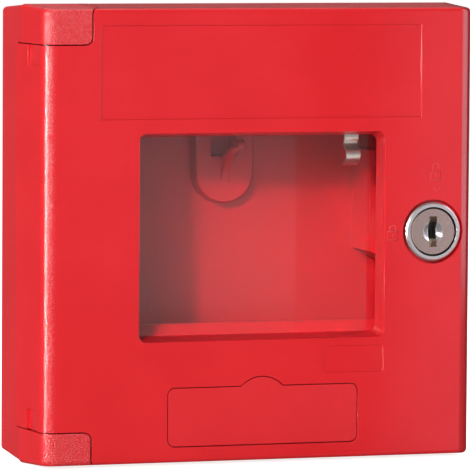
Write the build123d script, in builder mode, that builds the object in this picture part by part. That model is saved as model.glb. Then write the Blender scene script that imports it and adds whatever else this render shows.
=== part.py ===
from build123d import *
import os
from math import acos, asin, atan, atan2, cos, degrees, hypot, pi, radians, sin, sqrt, tan

# Break glass key box.
# Frame: the origin is the centre of the rear face, on the wall. +Z is up, +X is right as seen
# from the front, and the front looks along -Y. "Height" means distance out from the wall, so
# Plane.XZ.offset(height) is a plane parallel to the wall that faces the viewer.

# ---------------------------------------------------------------- overall sizes, mm
overall_depth = 45.0  # wall to front face of the door
seam_height = 23.5  # back box rim, where the door meets it
seam_gap = 0.3
ear_half = 70.0  # half width of door and ears at the seam
front_half = 69.0  # half width at the front face
rim_half = 69.8  # half width of the back box at its rim
rear_half = 68.5  # half width of the back box at the wall
rear_chamfer = 0.5
box_wall = 2.6
door_wall = 2.3
rear_wall = 3.0
front_wall = 2.6
edge_round = 1.5  # top and bottom edges and the corner edges
fine_chamfer = 0.45
hinge_side_round = 4.5
lock_side_round = 2.0
heel_rear = 20.0  # the door's flank beside the hinge comes back past the seam to this height
heel_right = -67.7

# ---------------------------------------------------------------- hinge
pin_x = -65.0
pin_height = 35.0
pin_radius = 1.5
pin_fit = 0.03
pin_hold = 7.0  # length of pin in the ear, and in the door
ear_top = 58.3  # lower face of the top ear
ear_bottom = -59.2  # upper face of the bottom ear
ear_side_x = -54.2  # right edge of the ears at the front face
ear_rear_x = -48.5  # right edge of the ears at the seam
ear_corner = 1.8
ear_gap = 0.35
ear_wall = 2.2
boss_radius = 3.4
door_boss_length = 8.5
ear_core_left = -67.3
ear_core_right = -53.5
ear_core_end = 67.2
ear_core_height = 42.4
ear_reach = sqrt((ear_side_x - pin_x) ** 2 + (overall_depth - pin_height) ** 2)
heel_swing_gap = 0.3

# ---------------------------------------------------------------- window and glass
# boxes in the front view are (left, right, bottom, top)
window_front = (-38.8, 40.8, -32.2, 31.2)
window_rear = (-38.4, 40.2, -30.9, 29.9)
window_corner = 2.2
glass_setback = 6.5  # front face of the door to the glass
glass_thickness = 2.0
glass_lap = 3.0  # how far the pane passes the window on each side
glass_play = 0.3
glass_corner = 0.6
glass_front = overall_depth - glass_setback
glass_rear = glass_front - glass_thickness
glass_rim_wall = 1.6
glass_rim_end = glass_rear + 0.2
glass_box = (
    window_rear[0] - glass_lap,
    window_rear[1] + glass_lap,
    window_rear[2] - glass_lap,
    window_rear[3] + glass_lap,
)
sill_play = 0.25  # between the pane and the sloped sill behind its lower edge
sill_low_z = -31.6
sill_high_z = -27.9
sill_depth = 6.0
sill_crest = 1.2
sill_root = 0.3  # how far the sill runs into the frame round the glass

# ---------------------------------------------------------------- glass clip
clip_x = 33.4
clip_width = 4.6
clip_strip = 0.45
clip_seat_height = 34.2  # rear face of the boss that the clip lies on
clip_screw_z = 40.5
clip_boss_box = (29.6, 37.2, 36.6, 44.4)
clip_screw_radius = 1.1
clip_hole_radius = 1.2
clip_screw_head = 2.1
clip_screw_length = 5.5
clip_press = 0.45
clip_bulge = -(glass_rear + clip_press)  # how far forward the strip's middle line is aimed
clip_top_z = 44.0
clip_bend_z = 28.6
clip_joggle = 1.0
clip_joggle_z = 26.9
clip_bulge_z = 23.5
clip_lip = 0.2
clip_lip_z = 21.0
clip_end = 1.2
clip_end_z = 20.4
clip_bend = 1.2
clip_tight_bend = 0.6
clip_wide_bend = 1.9
clip_screw_head_height = 1.3
clip_cross = 2.2  # cross recess of the clip's screw: length, width and depth
clip_cross_width = 0.5
clip_cross_depth = 0.7

# ---------------------------------------------------------------- recesses in the door's face
sign_box = (-51.2, 52.4, 35.5, 63.9)
sign_depth = 0.4
bare_box = (21.0, 40.6, -42.8, -34.6)
bare_depth = 0.3
bare_corner = 1.0
label_box = (-29.6, 32.3, -64.4, -46.1)
label_depth = 1.5
label_corner = 2.5
label_backing = 2.5  # how far the thicker wall behind the label field passes it
label_backing_rear = 40.6
label_groove = 0.3
label_sink = 0.2
bump_x = 1.0
bump_radius = 9.4
bump_rise = 2.9
label_centre = ((label_box[0] + label_box[1]) / 2, (label_box[2] + label_box[3]) / 2)
peg_width = 4.0
peg_height = 2.0
peg_length = 1.8
peg_play = 0.1
peg_spacing = 44.0
pocket_depth = 1.2  # shallow pockets in the door's flank beside the hinge pins
pocket_length = 6.2
pocket_rear = 30.0
pocket_front = 39.8
rebate_half = 68.6
rebate_height = 2.0
rebate_width = 4.0
rebate_lead = 2.0  # how far the rebate runs on past the tongue's ends
door_rib = 1.4
door_rib_rear = 38.0
door_rib_pitch = 30.0
door_rib_z = 55.0
door_rib_length = 40.0
door_side_rib_x = -54.0
door_side_rib_length = 24.0

# ---------------------------------------------------------------- lock
lock_x = 56.6
lock_recess_radius = 9.9
lock_seat = overall_depth - 1.8
flange_radius = 9.0
flange_front = overall_depth + 0.5
head_radius = 7.35
head_front = flange_front - 0.3
head_rear = lock_seat + 1.1
head_play = 0.25
head_chamfer = 0.35
head_seat_gap = 0.1
barrel_radius = 7.5
barrel_flat = 6.5  # centre to each side flat
barrel_end = 22.5
barrel_play = 0.1
plug_radius = 5.25
plug_fit = 0.05
plug_shoulder = 21.4
tail_half = 3.0
tail_end = 18.9
tail_chamfer = 0.25
tail_play = 0.03
keyway_width = 2.5
keyway_height = 9.4
keyway_depth = 20.0
well_radius = 3.2
well_floor_radius = 1.7
well_depth = 1.1
wafer_count = 5
wafer_pitch = 3.4
wafer_first = 40.6
wafer_thickness = 1.0
wafer_width = 4.5
wafer_play = 0.1
wafer_window = 6.0
wafer_shifts = (0.5, -0.4, 0.2, 0.7, -0.2)
lug_length = 0.9
lug_height = 1.0
lug_z = 0.86
spring_radius = 0.42
spring_wire = 0.11
spring_length = 3.0
spring_pitch = 1.0
coil_runs = 6
spring_x = 2.8
spring_foot = -2.78
spring_bore = 1.2
spring_seat = (-2.9, 2.6)  # lower and upper end of each spring's pocket
channel_width = 4.9
channel_reach = 6.6
channel_start = 24.0
channel_end = 42.0
groove_flat = 5.9
lock_boss_radius = 10.6
lock_boss_rear = 39.4
retainer_thickness = 1.0
retainer_half = 9.0
retainer_corner = 2.0
retainer_play = 0.05
retainer_rear = lock_boss_rear - retainer_thickness - 2 * retainer_play
stop_thickness = 1.0
stop_disc_radius = 5.4
stop_tab_radius = 7.0
stop_tab_angle = 98.0
stop_block_radius = 7.2
stop_block_angle = 170.0
stop_start = 5.0
stop_play = 0.2
stop_tab_rise = 0.9
tab_middle = 225.0
cam_thickness = 1.8
cam_hub_radius = 5.6
cam_reach = 9.6
cam_arm_width = 8.4
cam_front = plug_shoulder - stop_thickness
screw_radius = 1.6
screw_depth = 5.5
screw_head_radius = 3.3
screw_head_height = 1.8
screw_head_chamfer = 0.7
screw_play = 0.02
screw_end_gap = 0.4
screw_cross = 3.2  # cross recess of the cam's screw: length, width and depth
screw_cross_width = 0.7
screw_cross_depth = 1.1
washer_radius = 4.7
washer_thickness = 0.8
washer_hole = 1.8
washer_split = 0.7
washer_split_angle = 20.0

# ---------------------------------------------------------------- inside of the back box
hook_pad_x = 1.3
pad_width = 19.3
pad_bottom = 7.2
pad_top = 46.0
pad_height = 8.0
pad_draft = 3.0
core_pocket = (-3.3, 5.1, 22.0, 34.0)
core_floor = 1.6
hook_width = 3.0
hook_sunk = 0.5  # how far its root stands in the pad
hook_root_top = 21.8
hook_root_low = 13.4
hook_top_middle = (-14.6, 24.6)  # (Y, Z) points along the hook's side view
hook_tip_top = (-21.8, 28.0)
hook_tip_middle = (-23.3, 26.9)
hook_tip_low = (-23.0, 24.9)
hook_under_middle = (-11.6, 20.6)
guard_left = 45.7
guard_wall = 3.0
guard_height = 17.8
guard_top = 24.0
guard_corner_z = -7.7  # lower end of the guard's upright wall
guard_floor_z = -12.7  # lower face of its floor, from the lock's axis to the side wall
fixing_half = 50.0
fixing_hole_radius = 2.5
fixing_boss_radius = 6.5
fixing_boss_height = 6.5
rear_border = 5.0
rear_relief = 1.0
rear_rib = 1.6
tongue_height = 1.5
tongue_wall = 1.1
tongue_left = -42.0
tongue_half = 68.2
pad_skin = 2.2
fixing_pad = 15.0
rear_rib_pitch = 26.0
keeper_x = 63.9
keeper_half = 6.8
keeper_rib = 1.5
keeper_rear = cam_front + 0.4
keeper_core = (62.2, 66.8, -keeper_half, keeper_half)


def grown(box, amount):
    """The same box with each side moved out by an amount."""
    left, right, bottom, top = box
    return (left - amount, right + amount, bottom - amount, top + amount)


def half_at(height, low, low_half, high, high_half):
    """Half width of a drafted wall at a height between two known ones."""
    return low_half + (high_half - low_half) * (height - low) / (high - low)


def drafted_block(low, low_half, high, high_half):
    """Square block between two heights, with the same draft on its four flat sides."""
    neutral = Plane.XZ.offset(low)
    with BuildPart() as block:
        with BuildSketch(neutral):
            Rectangle(2 * low_half, 2 * low_half)
        extrude(amount=high - low)
        sides = block.faces().filter_by(Axis.Y, reverse=True)
        draft(sides, neutral, degrees(atan((low_half - high_half) / (high - low))))
    return block.part


def straight_block(low, high, box, corner=0.0):
    """Block between two heights on a rectangle, its upright corners rounded if asked."""
    left, right, bottom, top = box
    with BuildPart() as block:
        with BuildSketch(Plane.XZ.offset(low)):
            with Locations(((left + right) / 2, (bottom + top) / 2)):
                if corner > 0:
                    RectangleRounded(right - left, top - bottom, corner)
                else:
                    Rectangle(right - left, top - bottom)
        extrude(amount=high - low)
    return block.part


def lofted_block(low, low_box, high, high_box, corner):
    """Block between two rounded rectangles of their own sizes, parallel to the wall."""
    with BuildPart() as block:
        for height, (left, right, bottom, top) in ((low, low_box), (high, high_box)):
            with BuildSketch(Plane.XZ.offset(height)):
                with Locations(((left + right) / 2, (bottom + top) / 2)):
                    RectangleRounded(right - left, top - bottom, corner)
        loft()
    return block.part


def hinge_column(edge_z, outer_z, grow, low, rounded):
    """Corner block round a hinge pin. Its right side is a cylinder about the pin, so that the
    door's notch turns past it. grow moves its sides out, for the notch and for its wall."""
    high = overall_depth + 1
    reach = ear_reach + grow
    across = ear_rear_x + grow - pin_x
    back = pin_height - seam_height
    start = degrees(asin((pin_height - high) / reach))
    turn = degrees(atan2(back, across) - acos(reach / hypot(across, back)))
    away = 1 if outer_z > edge_z else -1
    near_z = edge_z - away * grow
    with BuildPart() as column:
        with BuildSketch(Plane.XY.offset(min(near_z, outer_z))):
            with BuildLine():
                side = CenterArc((pin_x, -pin_height), reach, start, turn - start)
                rear_x = (side @ 1).X + tan(radians(-turn)) * (-low - (side @ 1).Y)
                rear = Line(side @ 1, (rear_x, -low))
                Polyline(rear @ 1, (-ear_half - 5, -low), (-ear_half - 5, -high), side @ 0)
            make_face()
        extrude(amount=abs(outer_z - near_z))
        if rounded:
            inner_face = column.faces().sort_by(Axis.Z)[0 if away > 0 else -1]
            side_edges = inner_face.edges().filter_by(lambda e: e.center().X > ear_side_x - 3)
            side_edges = side_edges.filter_by(lambda e: abs(e.tangent_at(0.5).Y) > 0.5)
            fillet(side_edges, ear_corner + grow)
    return column.part


def both_ears(grow, low, rounded=True):
    """The two hinge corner blocks, top and bottom, with their free corner rounded if asked."""
    return [
        hinge_column(ear_top, ear_half + 5, grow, low, rounded),
        hinge_column(ear_bottom, -ear_half - 5, grow, low, rounded),
    ]


def front_form(low):
    """Outer form shared by the door and the ears, from a height to the front face."""
    low_half = half_at(low, seam_height, ear_half, overall_depth, front_half)
    with BuildPart() as form:
        add(drafted_block(low, low_half, overall_depth, front_half))
        front_edges = form.faces().sort_by(Axis.Y)[0].edges().filter_by(Axis.Z)
        fillet(front_edges.sort_by(Axis.X)[0], hinge_side_round)
        front_edges = form.faces().sort_by(Axis.Y)[0].edges().filter_by(Axis.Z)
        fillet(front_edges.sort_by(Axis.X)[-1], lock_side_round)
        for place in (0, -1):
            end_face = form.faces().sort_by(Axis.Z)[place]
            fillet(end_face.edges().filter_by(lambda e: e.center().Y < -low - 1), edge_round)
    return form.part


def at_height(height):
    """Selector for faces that lie in the plane at a height."""
    return lambda face: abs(face.center().Y + height) < 0.01


def ear_core(low_z, high_z):
    """Pocket inside an ear, open to the rear, round a boss on the pin's axis."""
    with BuildPart() as core:
        pocket = (ear_core_left, ear_core_right, low_z, high_z)
        add(straight_block(seam_height - 1, ear_core_height, pocket))
        with Locations((pin_x, -pin_height, (low_z + high_z) / 2)):
            Cylinder(boss_radius, high_z - low_z + 2, mode=Mode.SUBTRACT)
    return core.part


def pad_outline(inset):
    """Pad that carries the hook: straight sides and a round lower end, in the front view."""
    half = pad_width / 2 - inset
    centre_z = pad_bottom + pad_width / 2
    with BuildLine(mode=Mode.PRIVATE) as line:
        RadiusArc((hook_pad_x - half, centre_z), (hook_pad_x + half, centre_z), half, short_sagitta=False)
        Polyline(
            (hook_pad_x + half, centre_z),
            (hook_pad_x + half, pad_top - inset),
            (hook_pad_x - half, pad_top - inset),
            (hook_pad_x - half, centre_z),
        )
    make_face(line.edges())


def drafted_pad(low, high, inset):
    """The hook's pad between two heights, with draft on its sides."""
    with BuildPart() as pad:
        with BuildSketch(Plane.XZ.offset(low)):
            pad_outline(inset)
        extrude(amount=high - low)
        sides = pad.faces().filter_by(lambda face: abs(face.normal_at().Y) < 0.5)
        draft(sides, Plane.XZ.offset(low), pad_draft)
    return pad.part


def hook_outline():
    """Side view of the hook: rooted in the pad, concave below, with a raised blunt tip."""
    root = -pad_height + hook_sunk
    with BuildLine(mode=Mode.PRIVATE) as line:
        top = ThreePointArc((-pad_height, hook_root_top), hook_top_middle, hook_tip_top)
        tip = ThreePointArc(top @ 1, hook_tip_middle, hook_tip_low)
        under = ThreePointArc(tip @ 1, hook_under_middle, (-pad_height, hook_root_low))
        Polyline(under @ 1, (root, hook_root_low), (root, hook_root_top), top @ 0)
    make_face(line.edges())


def guard_outline():
    """Plan of the guard wall: down the left of the lock, then under it with a sloped corner."""
    right = rim_half - box_wall / 2
    with BuildLine(mode=Mode.PRIVATE) as line:
        run = Polyline(
            (guard_left, guard_top),
            (guard_left, guard_corner_z),
            (lock_x, guard_floor_z),
            (right, guard_floor_z),
        )
        offset(run, guard_wall, side=Side.LEFT, closed=True, kind=Kind.INTERSECTION)
    make_face(line.edges())


def barrel_outline(grow):
    """Round barrel with two upright flats, drawn at the sketch's current place."""
    Circle(barrel_radius + grow)
    for side in (-1, 1):
        with Locations((side * (barrel_flat + grow + barrel_radius), 0)):
            Rectangle(2 * barrel_radius, 4 * barrel_radius, mode=Mode.SUBTRACT)


def label_outline(inset):
    """Rounded label field with its finger bump, drawn on the current sketch plane."""
    left, right, bottom, top = grown(label_box, -inset)
    with Locations(((left + right) / 2, (bottom + top) / 2)):
        RectangleRounded(right - left, top - bottom, label_corner - inset)
    chord_z = top - 1
    reach = bump_radius - inset
    centre_z = label_box[3] + bump_rise - bump_radius
    half = sqrt(reach**2 - (chord_z - centre_z) ** 2)
    with BuildLine(mode=Mode.PRIVATE) as line:
        bump = ThreePointArc(
            (bump_x - half, chord_z), (bump_x, centre_z + reach), (bump_x + half, chord_z)
        )
        Line(bump @ 1, bump @ 0)
    make_face(line.edges())


os.makedirs("parts", exist_ok=True)

# ================================================================ back box
with BuildPart() as base:
    add(drafted_block(0, rear_half, seam_height, rim_half))
    fillet(base.edges().filter_by(lambda e: abs(e.tangent_at(0.5).Y) > 0.9), edge_round)
    chamfer(base.faces().sort_by(Axis.Y)[-1].edges(), rear_chamfer)

    # hollow
    inner_rear = half_at(rear_wall, 0, rear_half, seam_height, rim_half) - box_wall
    hollow = drafted_block(rear_wall, inner_rear, seam_height, rim_half - box_wall)
    add(hollow, mode=Mode.SUBTRACT)

    # ears
    ear_form = front_form(seam_height)
    for column in both_ears(0, seam_height):
        add(column & ear_form)

    # the ears are cored from behind, with a boss left round each pin
    add(ear_core(ear_top + ear_wall, ear_core_end), mode=Mode.SUBTRACT)
    add(ear_core(-ear_core_end, ear_bottom - ear_wall), mode=Mode.SUBTRACT)
    for face_z, away in ((ear_top, 1), (ear_bottom, -1)):
        with Locations((pin_x, -pin_height, face_z + away * pin_hold / 2)):
            Cylinder(pin_radius + pin_fit, pin_hold, mode=Mode.SUBTRACT)

    # hinge side of the rim, hollowed on a radius about the pins so that the door's heel clears it
    heel_half = half_at(heel_rear, seam_height, ear_half, overall_depth, front_half)
    heel_reach = hypot(heel_half + pin_x, pin_height - heel_rear) + heel_swing_gap
    with Locations((pin_x, -pin_height, (ear_top + ear_bottom) / 2)):
        Cylinder(heel_reach, ear_top - ear_bottom, mode=Mode.SUBTRACT)

    # raised pad with a round lower end, which carries the key hook
    add(drafted_pad(rear_wall, pad_height, 0))
    chamfer(base.faces().filter_by(at_height(pad_height)).edges(), fine_chamfer)

    # key hook
    with BuildSketch(Plane.YZ.offset(hook_pad_x - hook_width / 2)):
        hook_outline()
    extrude(amount=hook_width)
    hook_edges = base.edges().filter_by(lambda e: -40 < e.center().Y < -pad_height - 1)
    hook_edges = hook_edges.filter_by(lambda e: abs(e.center().X - hook_pad_x) > hook_width / 2 - 0.1)
    chamfer(hook_edges.filter_by(lambda e: hook_root_low < e.center().Z < 30), fine_chamfer)

    # guard wall round the lock's corner: down the left of the lock, then under it to the side
    with BuildSketch(Plane.XZ.offset(rear_wall)):
        guard_outline()
    extrude(amount=guard_height - rear_wall)

    # screw bosses
    with BuildSketch(Plane.XZ.offset(rear_wall)):
        with GridLocations(2 * fixing_half, 2 * fixing_half, 2, 2):
            Circle(fixing_boss_radius)
    extrude(amount=fixing_boss_height - rear_wall)

    # keeper that the cam turns in behind, with a rib that carries it from the side wall
    add(straight_block(keeper_rear, seam_height, (keeper_x, rear_half, -keeper_half, keeper_half)))
    for side in (-1, 1):
        rib = sorted((side * keeper_half, side * (keeper_half + keeper_rib)))
        add(straight_block(rear_wall, seam_height, (keeper_x, rear_half, *rib)))

    # opening that cores the keeper's underside from behind
    add(straight_block(-1, keeper_rear, keeper_core), mode=Mode.SUBTRACT)

    # tongue along the rim, on the three sides away from the hinge
    with BuildSketch(Plane.XZ.offset(seam_height)):
        Rectangle(2 * tongue_half, 2 * tongue_half)
        Rectangle(2 * (tongue_half - tongue_wall), 2 * (tongue_half - tongue_wall), mode=Mode.SUBTRACT)
        with Locations((tongue_left - ear_half, 0)):
            Rectangle(2 * ear_half, 2 * ear_half, mode=Mode.SUBTRACT)
    extrude(amount=tongue_height)

    # core pocket above the hook, and the holes for the wall screws
    add(straight_block(core_floor, pad_height + 1, core_pocket), mode=Mode.SUBTRACT)
    with BuildSketch(Plane.XZ.offset(-1)):
        with GridLocations(2 * fixing_half, 2 * fixing_half, 2, 2):
            Circle(fixing_hole_radius)
    extrude(amount=fixing_boss_height + 2, mode=Mode.SUBTRACT)

    # rear face: relieved inside a border, with pads at the screws, ribs, and a hollow pad
    with BuildSketch(Plane.XZ):
        Rectangle(2 * (rear_half - rear_border), 2 * (rear_half - rear_border))
        with GridLocations(2 * fixing_half, 2 * fixing_half, 2, 2):
            Rectangle(fixing_pad, fixing_pad, mode=Mode.SUBTRACT)
        with GridLocations(rear_rib_pitch, 0, 4, 1):
            Rectangle(rear_rib, 2 * rear_half, mode=Mode.SUBTRACT)
        with GridLocations(0, rear_rib_pitch, 1, 4):
            Rectangle(2 * rear_half, rear_rib, mode=Mode.SUBTRACT)
    extrude(amount=rear_relief, mode=Mode.SUBTRACT)
    pad_hollow = drafted_pad(0, pad_height - pad_skin, pad_skin)
    pocket_wall = straight_block(0, pad_height, grown(core_pocket, pad_skin))
    add(pad_hollow - pocket_wall, mode=Mode.SUBTRACT)

base.part.label = "base"
export_step(base.part, "parts/base.step")

# ================================================================ door
door_rear = seam_height + seam_gap
door_inner_front = half_at(overall_depth - front_wall, seam_height, ear_half, overall_depth, front_half)
notches = both_ears(ear_gap, seam_height - 3)
notch_walls = both_ears(ear_gap + door_wall, seam_height - 3, rounded=False)

# the hollow behind the door's face, with what stands in it left solid
with BuildPart() as door_hollow:
    floor_height = overall_depth - front_wall
    add(drafted_block(seam_height, ear_half - door_wall, floor_height, door_inner_front - door_wall))
    for wall in notch_walls:
        add(wall, mode=Mode.SUBTRACT)
    # bosses on the pins' axis
    for face_z, away in ((ear_top - ear_gap, -1), (ear_bottom + ear_gap, 1)):
        with Locations((pin_x, -pin_height, face_z + away * door_boss_length / 2)):
            Cylinder(boss_radius, door_boss_length, mode=Mode.SUBTRACT)
    # frame round the glass, bosses for the lock and the clip, backing of the label field
    frame_box = grown(glass_box, glass_play + glass_rim_wall)
    add(straight_block(glass_rim_end, overall_depth, frame_box), mode=Mode.SUBTRACT)
    add(straight_block(clip_seat_height, overall_depth, clip_boss_box), mode=Mode.SUBTRACT)
    backing_box = grown(label_box, label_backing)
    add(straight_block(label_backing_rear, overall_depth, backing_box), mode=Mode.SUBTRACT)
    with BuildSketch(Plane.XZ.offset(lock_boss_rear)):
        with Locations((lock_x, 0)):
            Circle(lock_boss_radius)
    extrude(amount=overall_depth - lock_boss_rear, mode=Mode.SUBTRACT)
    # stiffening ribs from the glass frame out to the walls
    with BuildSketch(Plane.XZ.offset(door_rib_rear)):
        with GridLocations(door_rib_pitch, 2 * door_rib_z, 4, 2):
            Rectangle(door_rib, door_rib_length)
        with Locations((door_side_rib_x, 0)):
            with GridLocations(0, door_rib_pitch, 1, 3):
                Rectangle(door_side_rib_length, door_rib)
    extrude(amount=overall_depth - door_rib_rear, mode=Mode.SUBTRACT)

with BuildPart() as door:
    add(front_form(door_rear))
    for notch in notches:
        add(notch, mode=Mode.SUBTRACT)
    add(door_hollow.part, mode=Mode.SUBTRACT)

    # heel beside the hinge
    heel_box = (-ear_half - 1, heel_right, ear_bottom + ear_gap, ear_top - ear_gap)
    add(front_form(heel_rear) & straight_block(heel_rear, door_rear + 1, heel_box))

    # rebate that the back box's tongue enters
    with BuildSketch(Plane.XZ.offset(door_rear)):
        Rectangle(2 * rebate_half, 2 * rebate_half)
        inner = 2 * (rebate_half - rebate_width)
        Rectangle(inner, inner, mode=Mode.SUBTRACT)
        with Locations((tongue_left - rebate_lead - ear_half, 0)):
            Rectangle(2 * ear_half, 2 * ear_half, mode=Mode.SUBTRACT)
    extrude(amount=rebate_height, mode=Mode.SUBTRACT)

    # window, with sloped reveals, and the seat of the pane behind it
    reveal = lofted_block(glass_front, window_rear, overall_depth, window_front, window_corner)
    add(reveal, mode=Mode.SUBTRACT)
    seat = grown(glass_box, glass_play)
    add(straight_block(door_rear, glass_front, seat), mode=Mode.SUBTRACT)

    # sloped sill that the pane's lower edge drops in behind
    with BuildSketch(Plane.YZ.offset(glass_box[0] - glass_play)):
        sill_front = -(glass_rear - sill_play)
        foot_z = glass_box[2] - glass_play
        with BuildLine():
            Polyline(
                (sill_front, foot_z),
                (sill_front, sill_low_z),
                (sill_front + sill_depth, sill_high_z),
                (sill_front + sill_depth + sill_crest, sill_high_z),
                (sill_front + sill_depth + sill_crest, foot_z - glass_rim_wall),
                (-(glass_rim_end + sill_root), foot_z - glass_rim_wall),
                (-(glass_rim_end + sill_root), foot_z),
                close=True,
            )
        make_face()
    extrude(amount=glass_box[1] - glass_box[0] + 2 * glass_play)

    # recesses in the face
    add(straight_block(overall_depth - sign_depth, overall_depth + 1, sign_box), mode=Mode.SUBTRACT)
    bare_field = straight_block(overall_depth - bare_depth, overall_depth + 1, bare_box, bare_corner)
    add(bare_field, mode=Mode.SUBTRACT)
    with BuildSketch(Plane.XZ.offset(overall_depth)):
        label_outline(0)
    extrude(amount=-label_depth, mode=Mode.SUBTRACT)
    with BuildSketch(Plane.XZ.offset(overall_depth)):
        with Locations(label_centre):
            with GridLocations(peg_spacing, 0, 2, 1):
                Rectangle(peg_width + peg_play, peg_height + peg_play)
    extrude(amount=-(label_depth + peg_length + peg_play), mode=Mode.SUBTRACT)

    # lock opening: round recess for the flange, and a hole with two flats for the barrel
    with BuildSketch(Plane.XZ.offset(overall_depth)):
        with Locations((lock_x, 0)):
            Circle(lock_recess_radius)
    extrude(amount=-(overall_depth - lock_seat), mode=Mode.SUBTRACT)
    with BuildSketch(Plane.XZ.offset(lock_boss_rear - 1)):
        with Locations((lock_x, 0)):
            barrel_outline(barrel_play)
    extrude(amount=overall_depth - lock_boss_rear, mode=Mode.SUBTRACT)

    # cored pockets in the flank, and the bores for the hinge pins
    for face_z, away in ((ear_top - ear_gap, -1), (ear_bottom + ear_gap, 1)):
        low_z, high_z = sorted((face_z - away, face_z + away * pocket_length))
        pocket = (-ear_half - 1, -ear_half + pocket_depth, low_z, high_z)
        add(straight_block(pocket_rear, pocket_front, pocket), mode=Mode.SUBTRACT)
        with Locations((pin_x, -pin_height, face_z + away * pin_hold / 2)):
            Cylinder(pin_radius + pin_fit, pin_hold, mode=Mode.SUBTRACT)

    # pilot hole of the clip's screw
    with BuildSketch(Plane.XZ.offset(clip_seat_height - 1)):
        with Locations((clip_x, clip_screw_z)):
            Circle(clip_screw_radius)
    extrude(amount=clip_screw_length + 1, mode=Mode.SUBTRACT)

door.part.label = "door"
export_step(door.part, "parts/door.step")

# ================================================================ glass, its clip, and the label plate
with BuildPart() as glass_pane:
    add(straight_block(glass_rear, glass_front, glass_box, glass_corner))
glass_pane.part.label = "glass_pane"
export_step(glass_pane.part, "parts/glass_pane.step")

with BuildPart() as glass_clip:
    clip_middle = -(clip_seat_height - clip_strip / 2)
    with BuildSketch(Plane.YZ.offset(clip_x - clip_width / 2)):
        with BuildLine():
            FilletPolyline(
                (clip_middle, clip_top_z),
                (clip_middle, clip_bend_z),
                (clip_middle + clip_joggle, clip_joggle_z),
                (clip_bulge, clip_bulge_z),
                (clip_middle + clip_lip, clip_lip_z),
                (clip_middle + clip_end, clip_end_z),
                radius=[clip_bend, clip_tight_bend, clip_wide_bend, clip_tight_bend],
            )
        trace(line_width=clip_strip)
    extrude(amount=clip_width)
    with BuildSketch(Plane.XZ.offset(clip_seat_height)):
        with Locations((clip_x, clip_screw_z)):
            Circle(clip_hole_radius)
    extrude(amount=-1, mode=Mode.SUBTRACT)
glass_clip.part.label = "glass_clip"
export_step(glass_clip.part, "parts/glass_clip.step")

with BuildPart() as glass_clip_screw:
    with BuildSketch(Plane.XZ.offset(clip_seat_height - clip_strip)):
        with Locations((clip_x, clip_screw_z)):
            Circle(clip_screw_head)
    extrude(amount=-clip_screw_head_height)
    chamfer(glass_clip_screw.faces().sort_by(Axis.Y)[-1].edges(), fine_chamfer)
    with BuildSketch(Plane.XZ.offset(clip_seat_height - clip_strip)):
        with Locations((clip_x, clip_screw_z)):
            Circle(clip_screw_radius)
    extrude(amount=clip_screw_length)
    with BuildSketch(Plane.XZ.offset(clip_seat_height - clip_strip - clip_screw_head_height)):
        with Locations((clip_x, clip_screw_z)):
            Rectangle(clip_cross, clip_cross_width)
            Rectangle(clip_cross_width, clip_cross)
    extrude(amount=clip_cross_depth, mode=Mode.SUBTRACT)
glass_clip_screw.part.label = "glass_clip_screw"
export_step(glass_clip_screw.part, "parts/glass_clip_screw.step")

with BuildPart() as label_plate:
    plate_front = overall_depth - label_sink
    with BuildSketch(Plane.XZ.offset(overall_depth - label_depth)):
        label_outline(label_groove)
    extrude(amount=plate_front - (overall_depth - label_depth))
    with BuildSketch(Plane.XZ.offset(overall_depth - label_depth)):
        with Locations(label_centre):
            with GridLocations(peg_spacing, 0, 2, 1):
                Rectangle(peg_width, peg_height)
    extrude(amount=-peg_length)
label_plate.part.label = "label_plate"
export_step(label_plate.part, "parts/label_plate.step")

# ================================================================ hinge pins
for pin_name, face_z, away in (("hinge_pin_top", ear_top, 1), ("hinge_pin_bottom", ear_bottom, -1)):
    with BuildPart() as hinge_pin:
        with Locations((pin_x, -pin_height, face_z - away * ear_gap / 2)):
            Cylinder(pin_radius, 2 * pin_hold)
    hinge_pin.part.label = pin_name
    export_step(hinge_pin.part, f"parts/{pin_name}.step")


# ================================================================ lock
def lock_sketch(height):
    """Sketch plane parallel to the wall at a height, with its origin on the lock's axis."""
    return Plane(origin=(lock_x, -height, 0), x_dir=(1, 0, 0), z_dir=(0, -1, 0))


def coil_points():
    """Points of a spring's coil about its own axis, with a few straight runs to each turn."""
    step = 2 * pi / coil_runs
    count = round(coil_runs * spring_length / spring_pitch)
    rise = spring_length / count
    return [
        (spring_radius * cos(step * place), spring_radius * sin(step * place), rise * place)
        for place in range(count + 1)
    ]


def sector(inner, outer, start, sweep):
    """Part of a ring, from a start angle, drawn at the sketch's origin."""
    with BuildLine(mode=Mode.PRIVATE) as line:
        far = CenterArc((0, 0), outer, start, sweep)
        near = CenterArc((0, 0), inner, start, sweep)
        Line(far @ 0, near @ 0)
        Line(far @ 1, near @ 1)
    make_face(line.edges())


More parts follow.
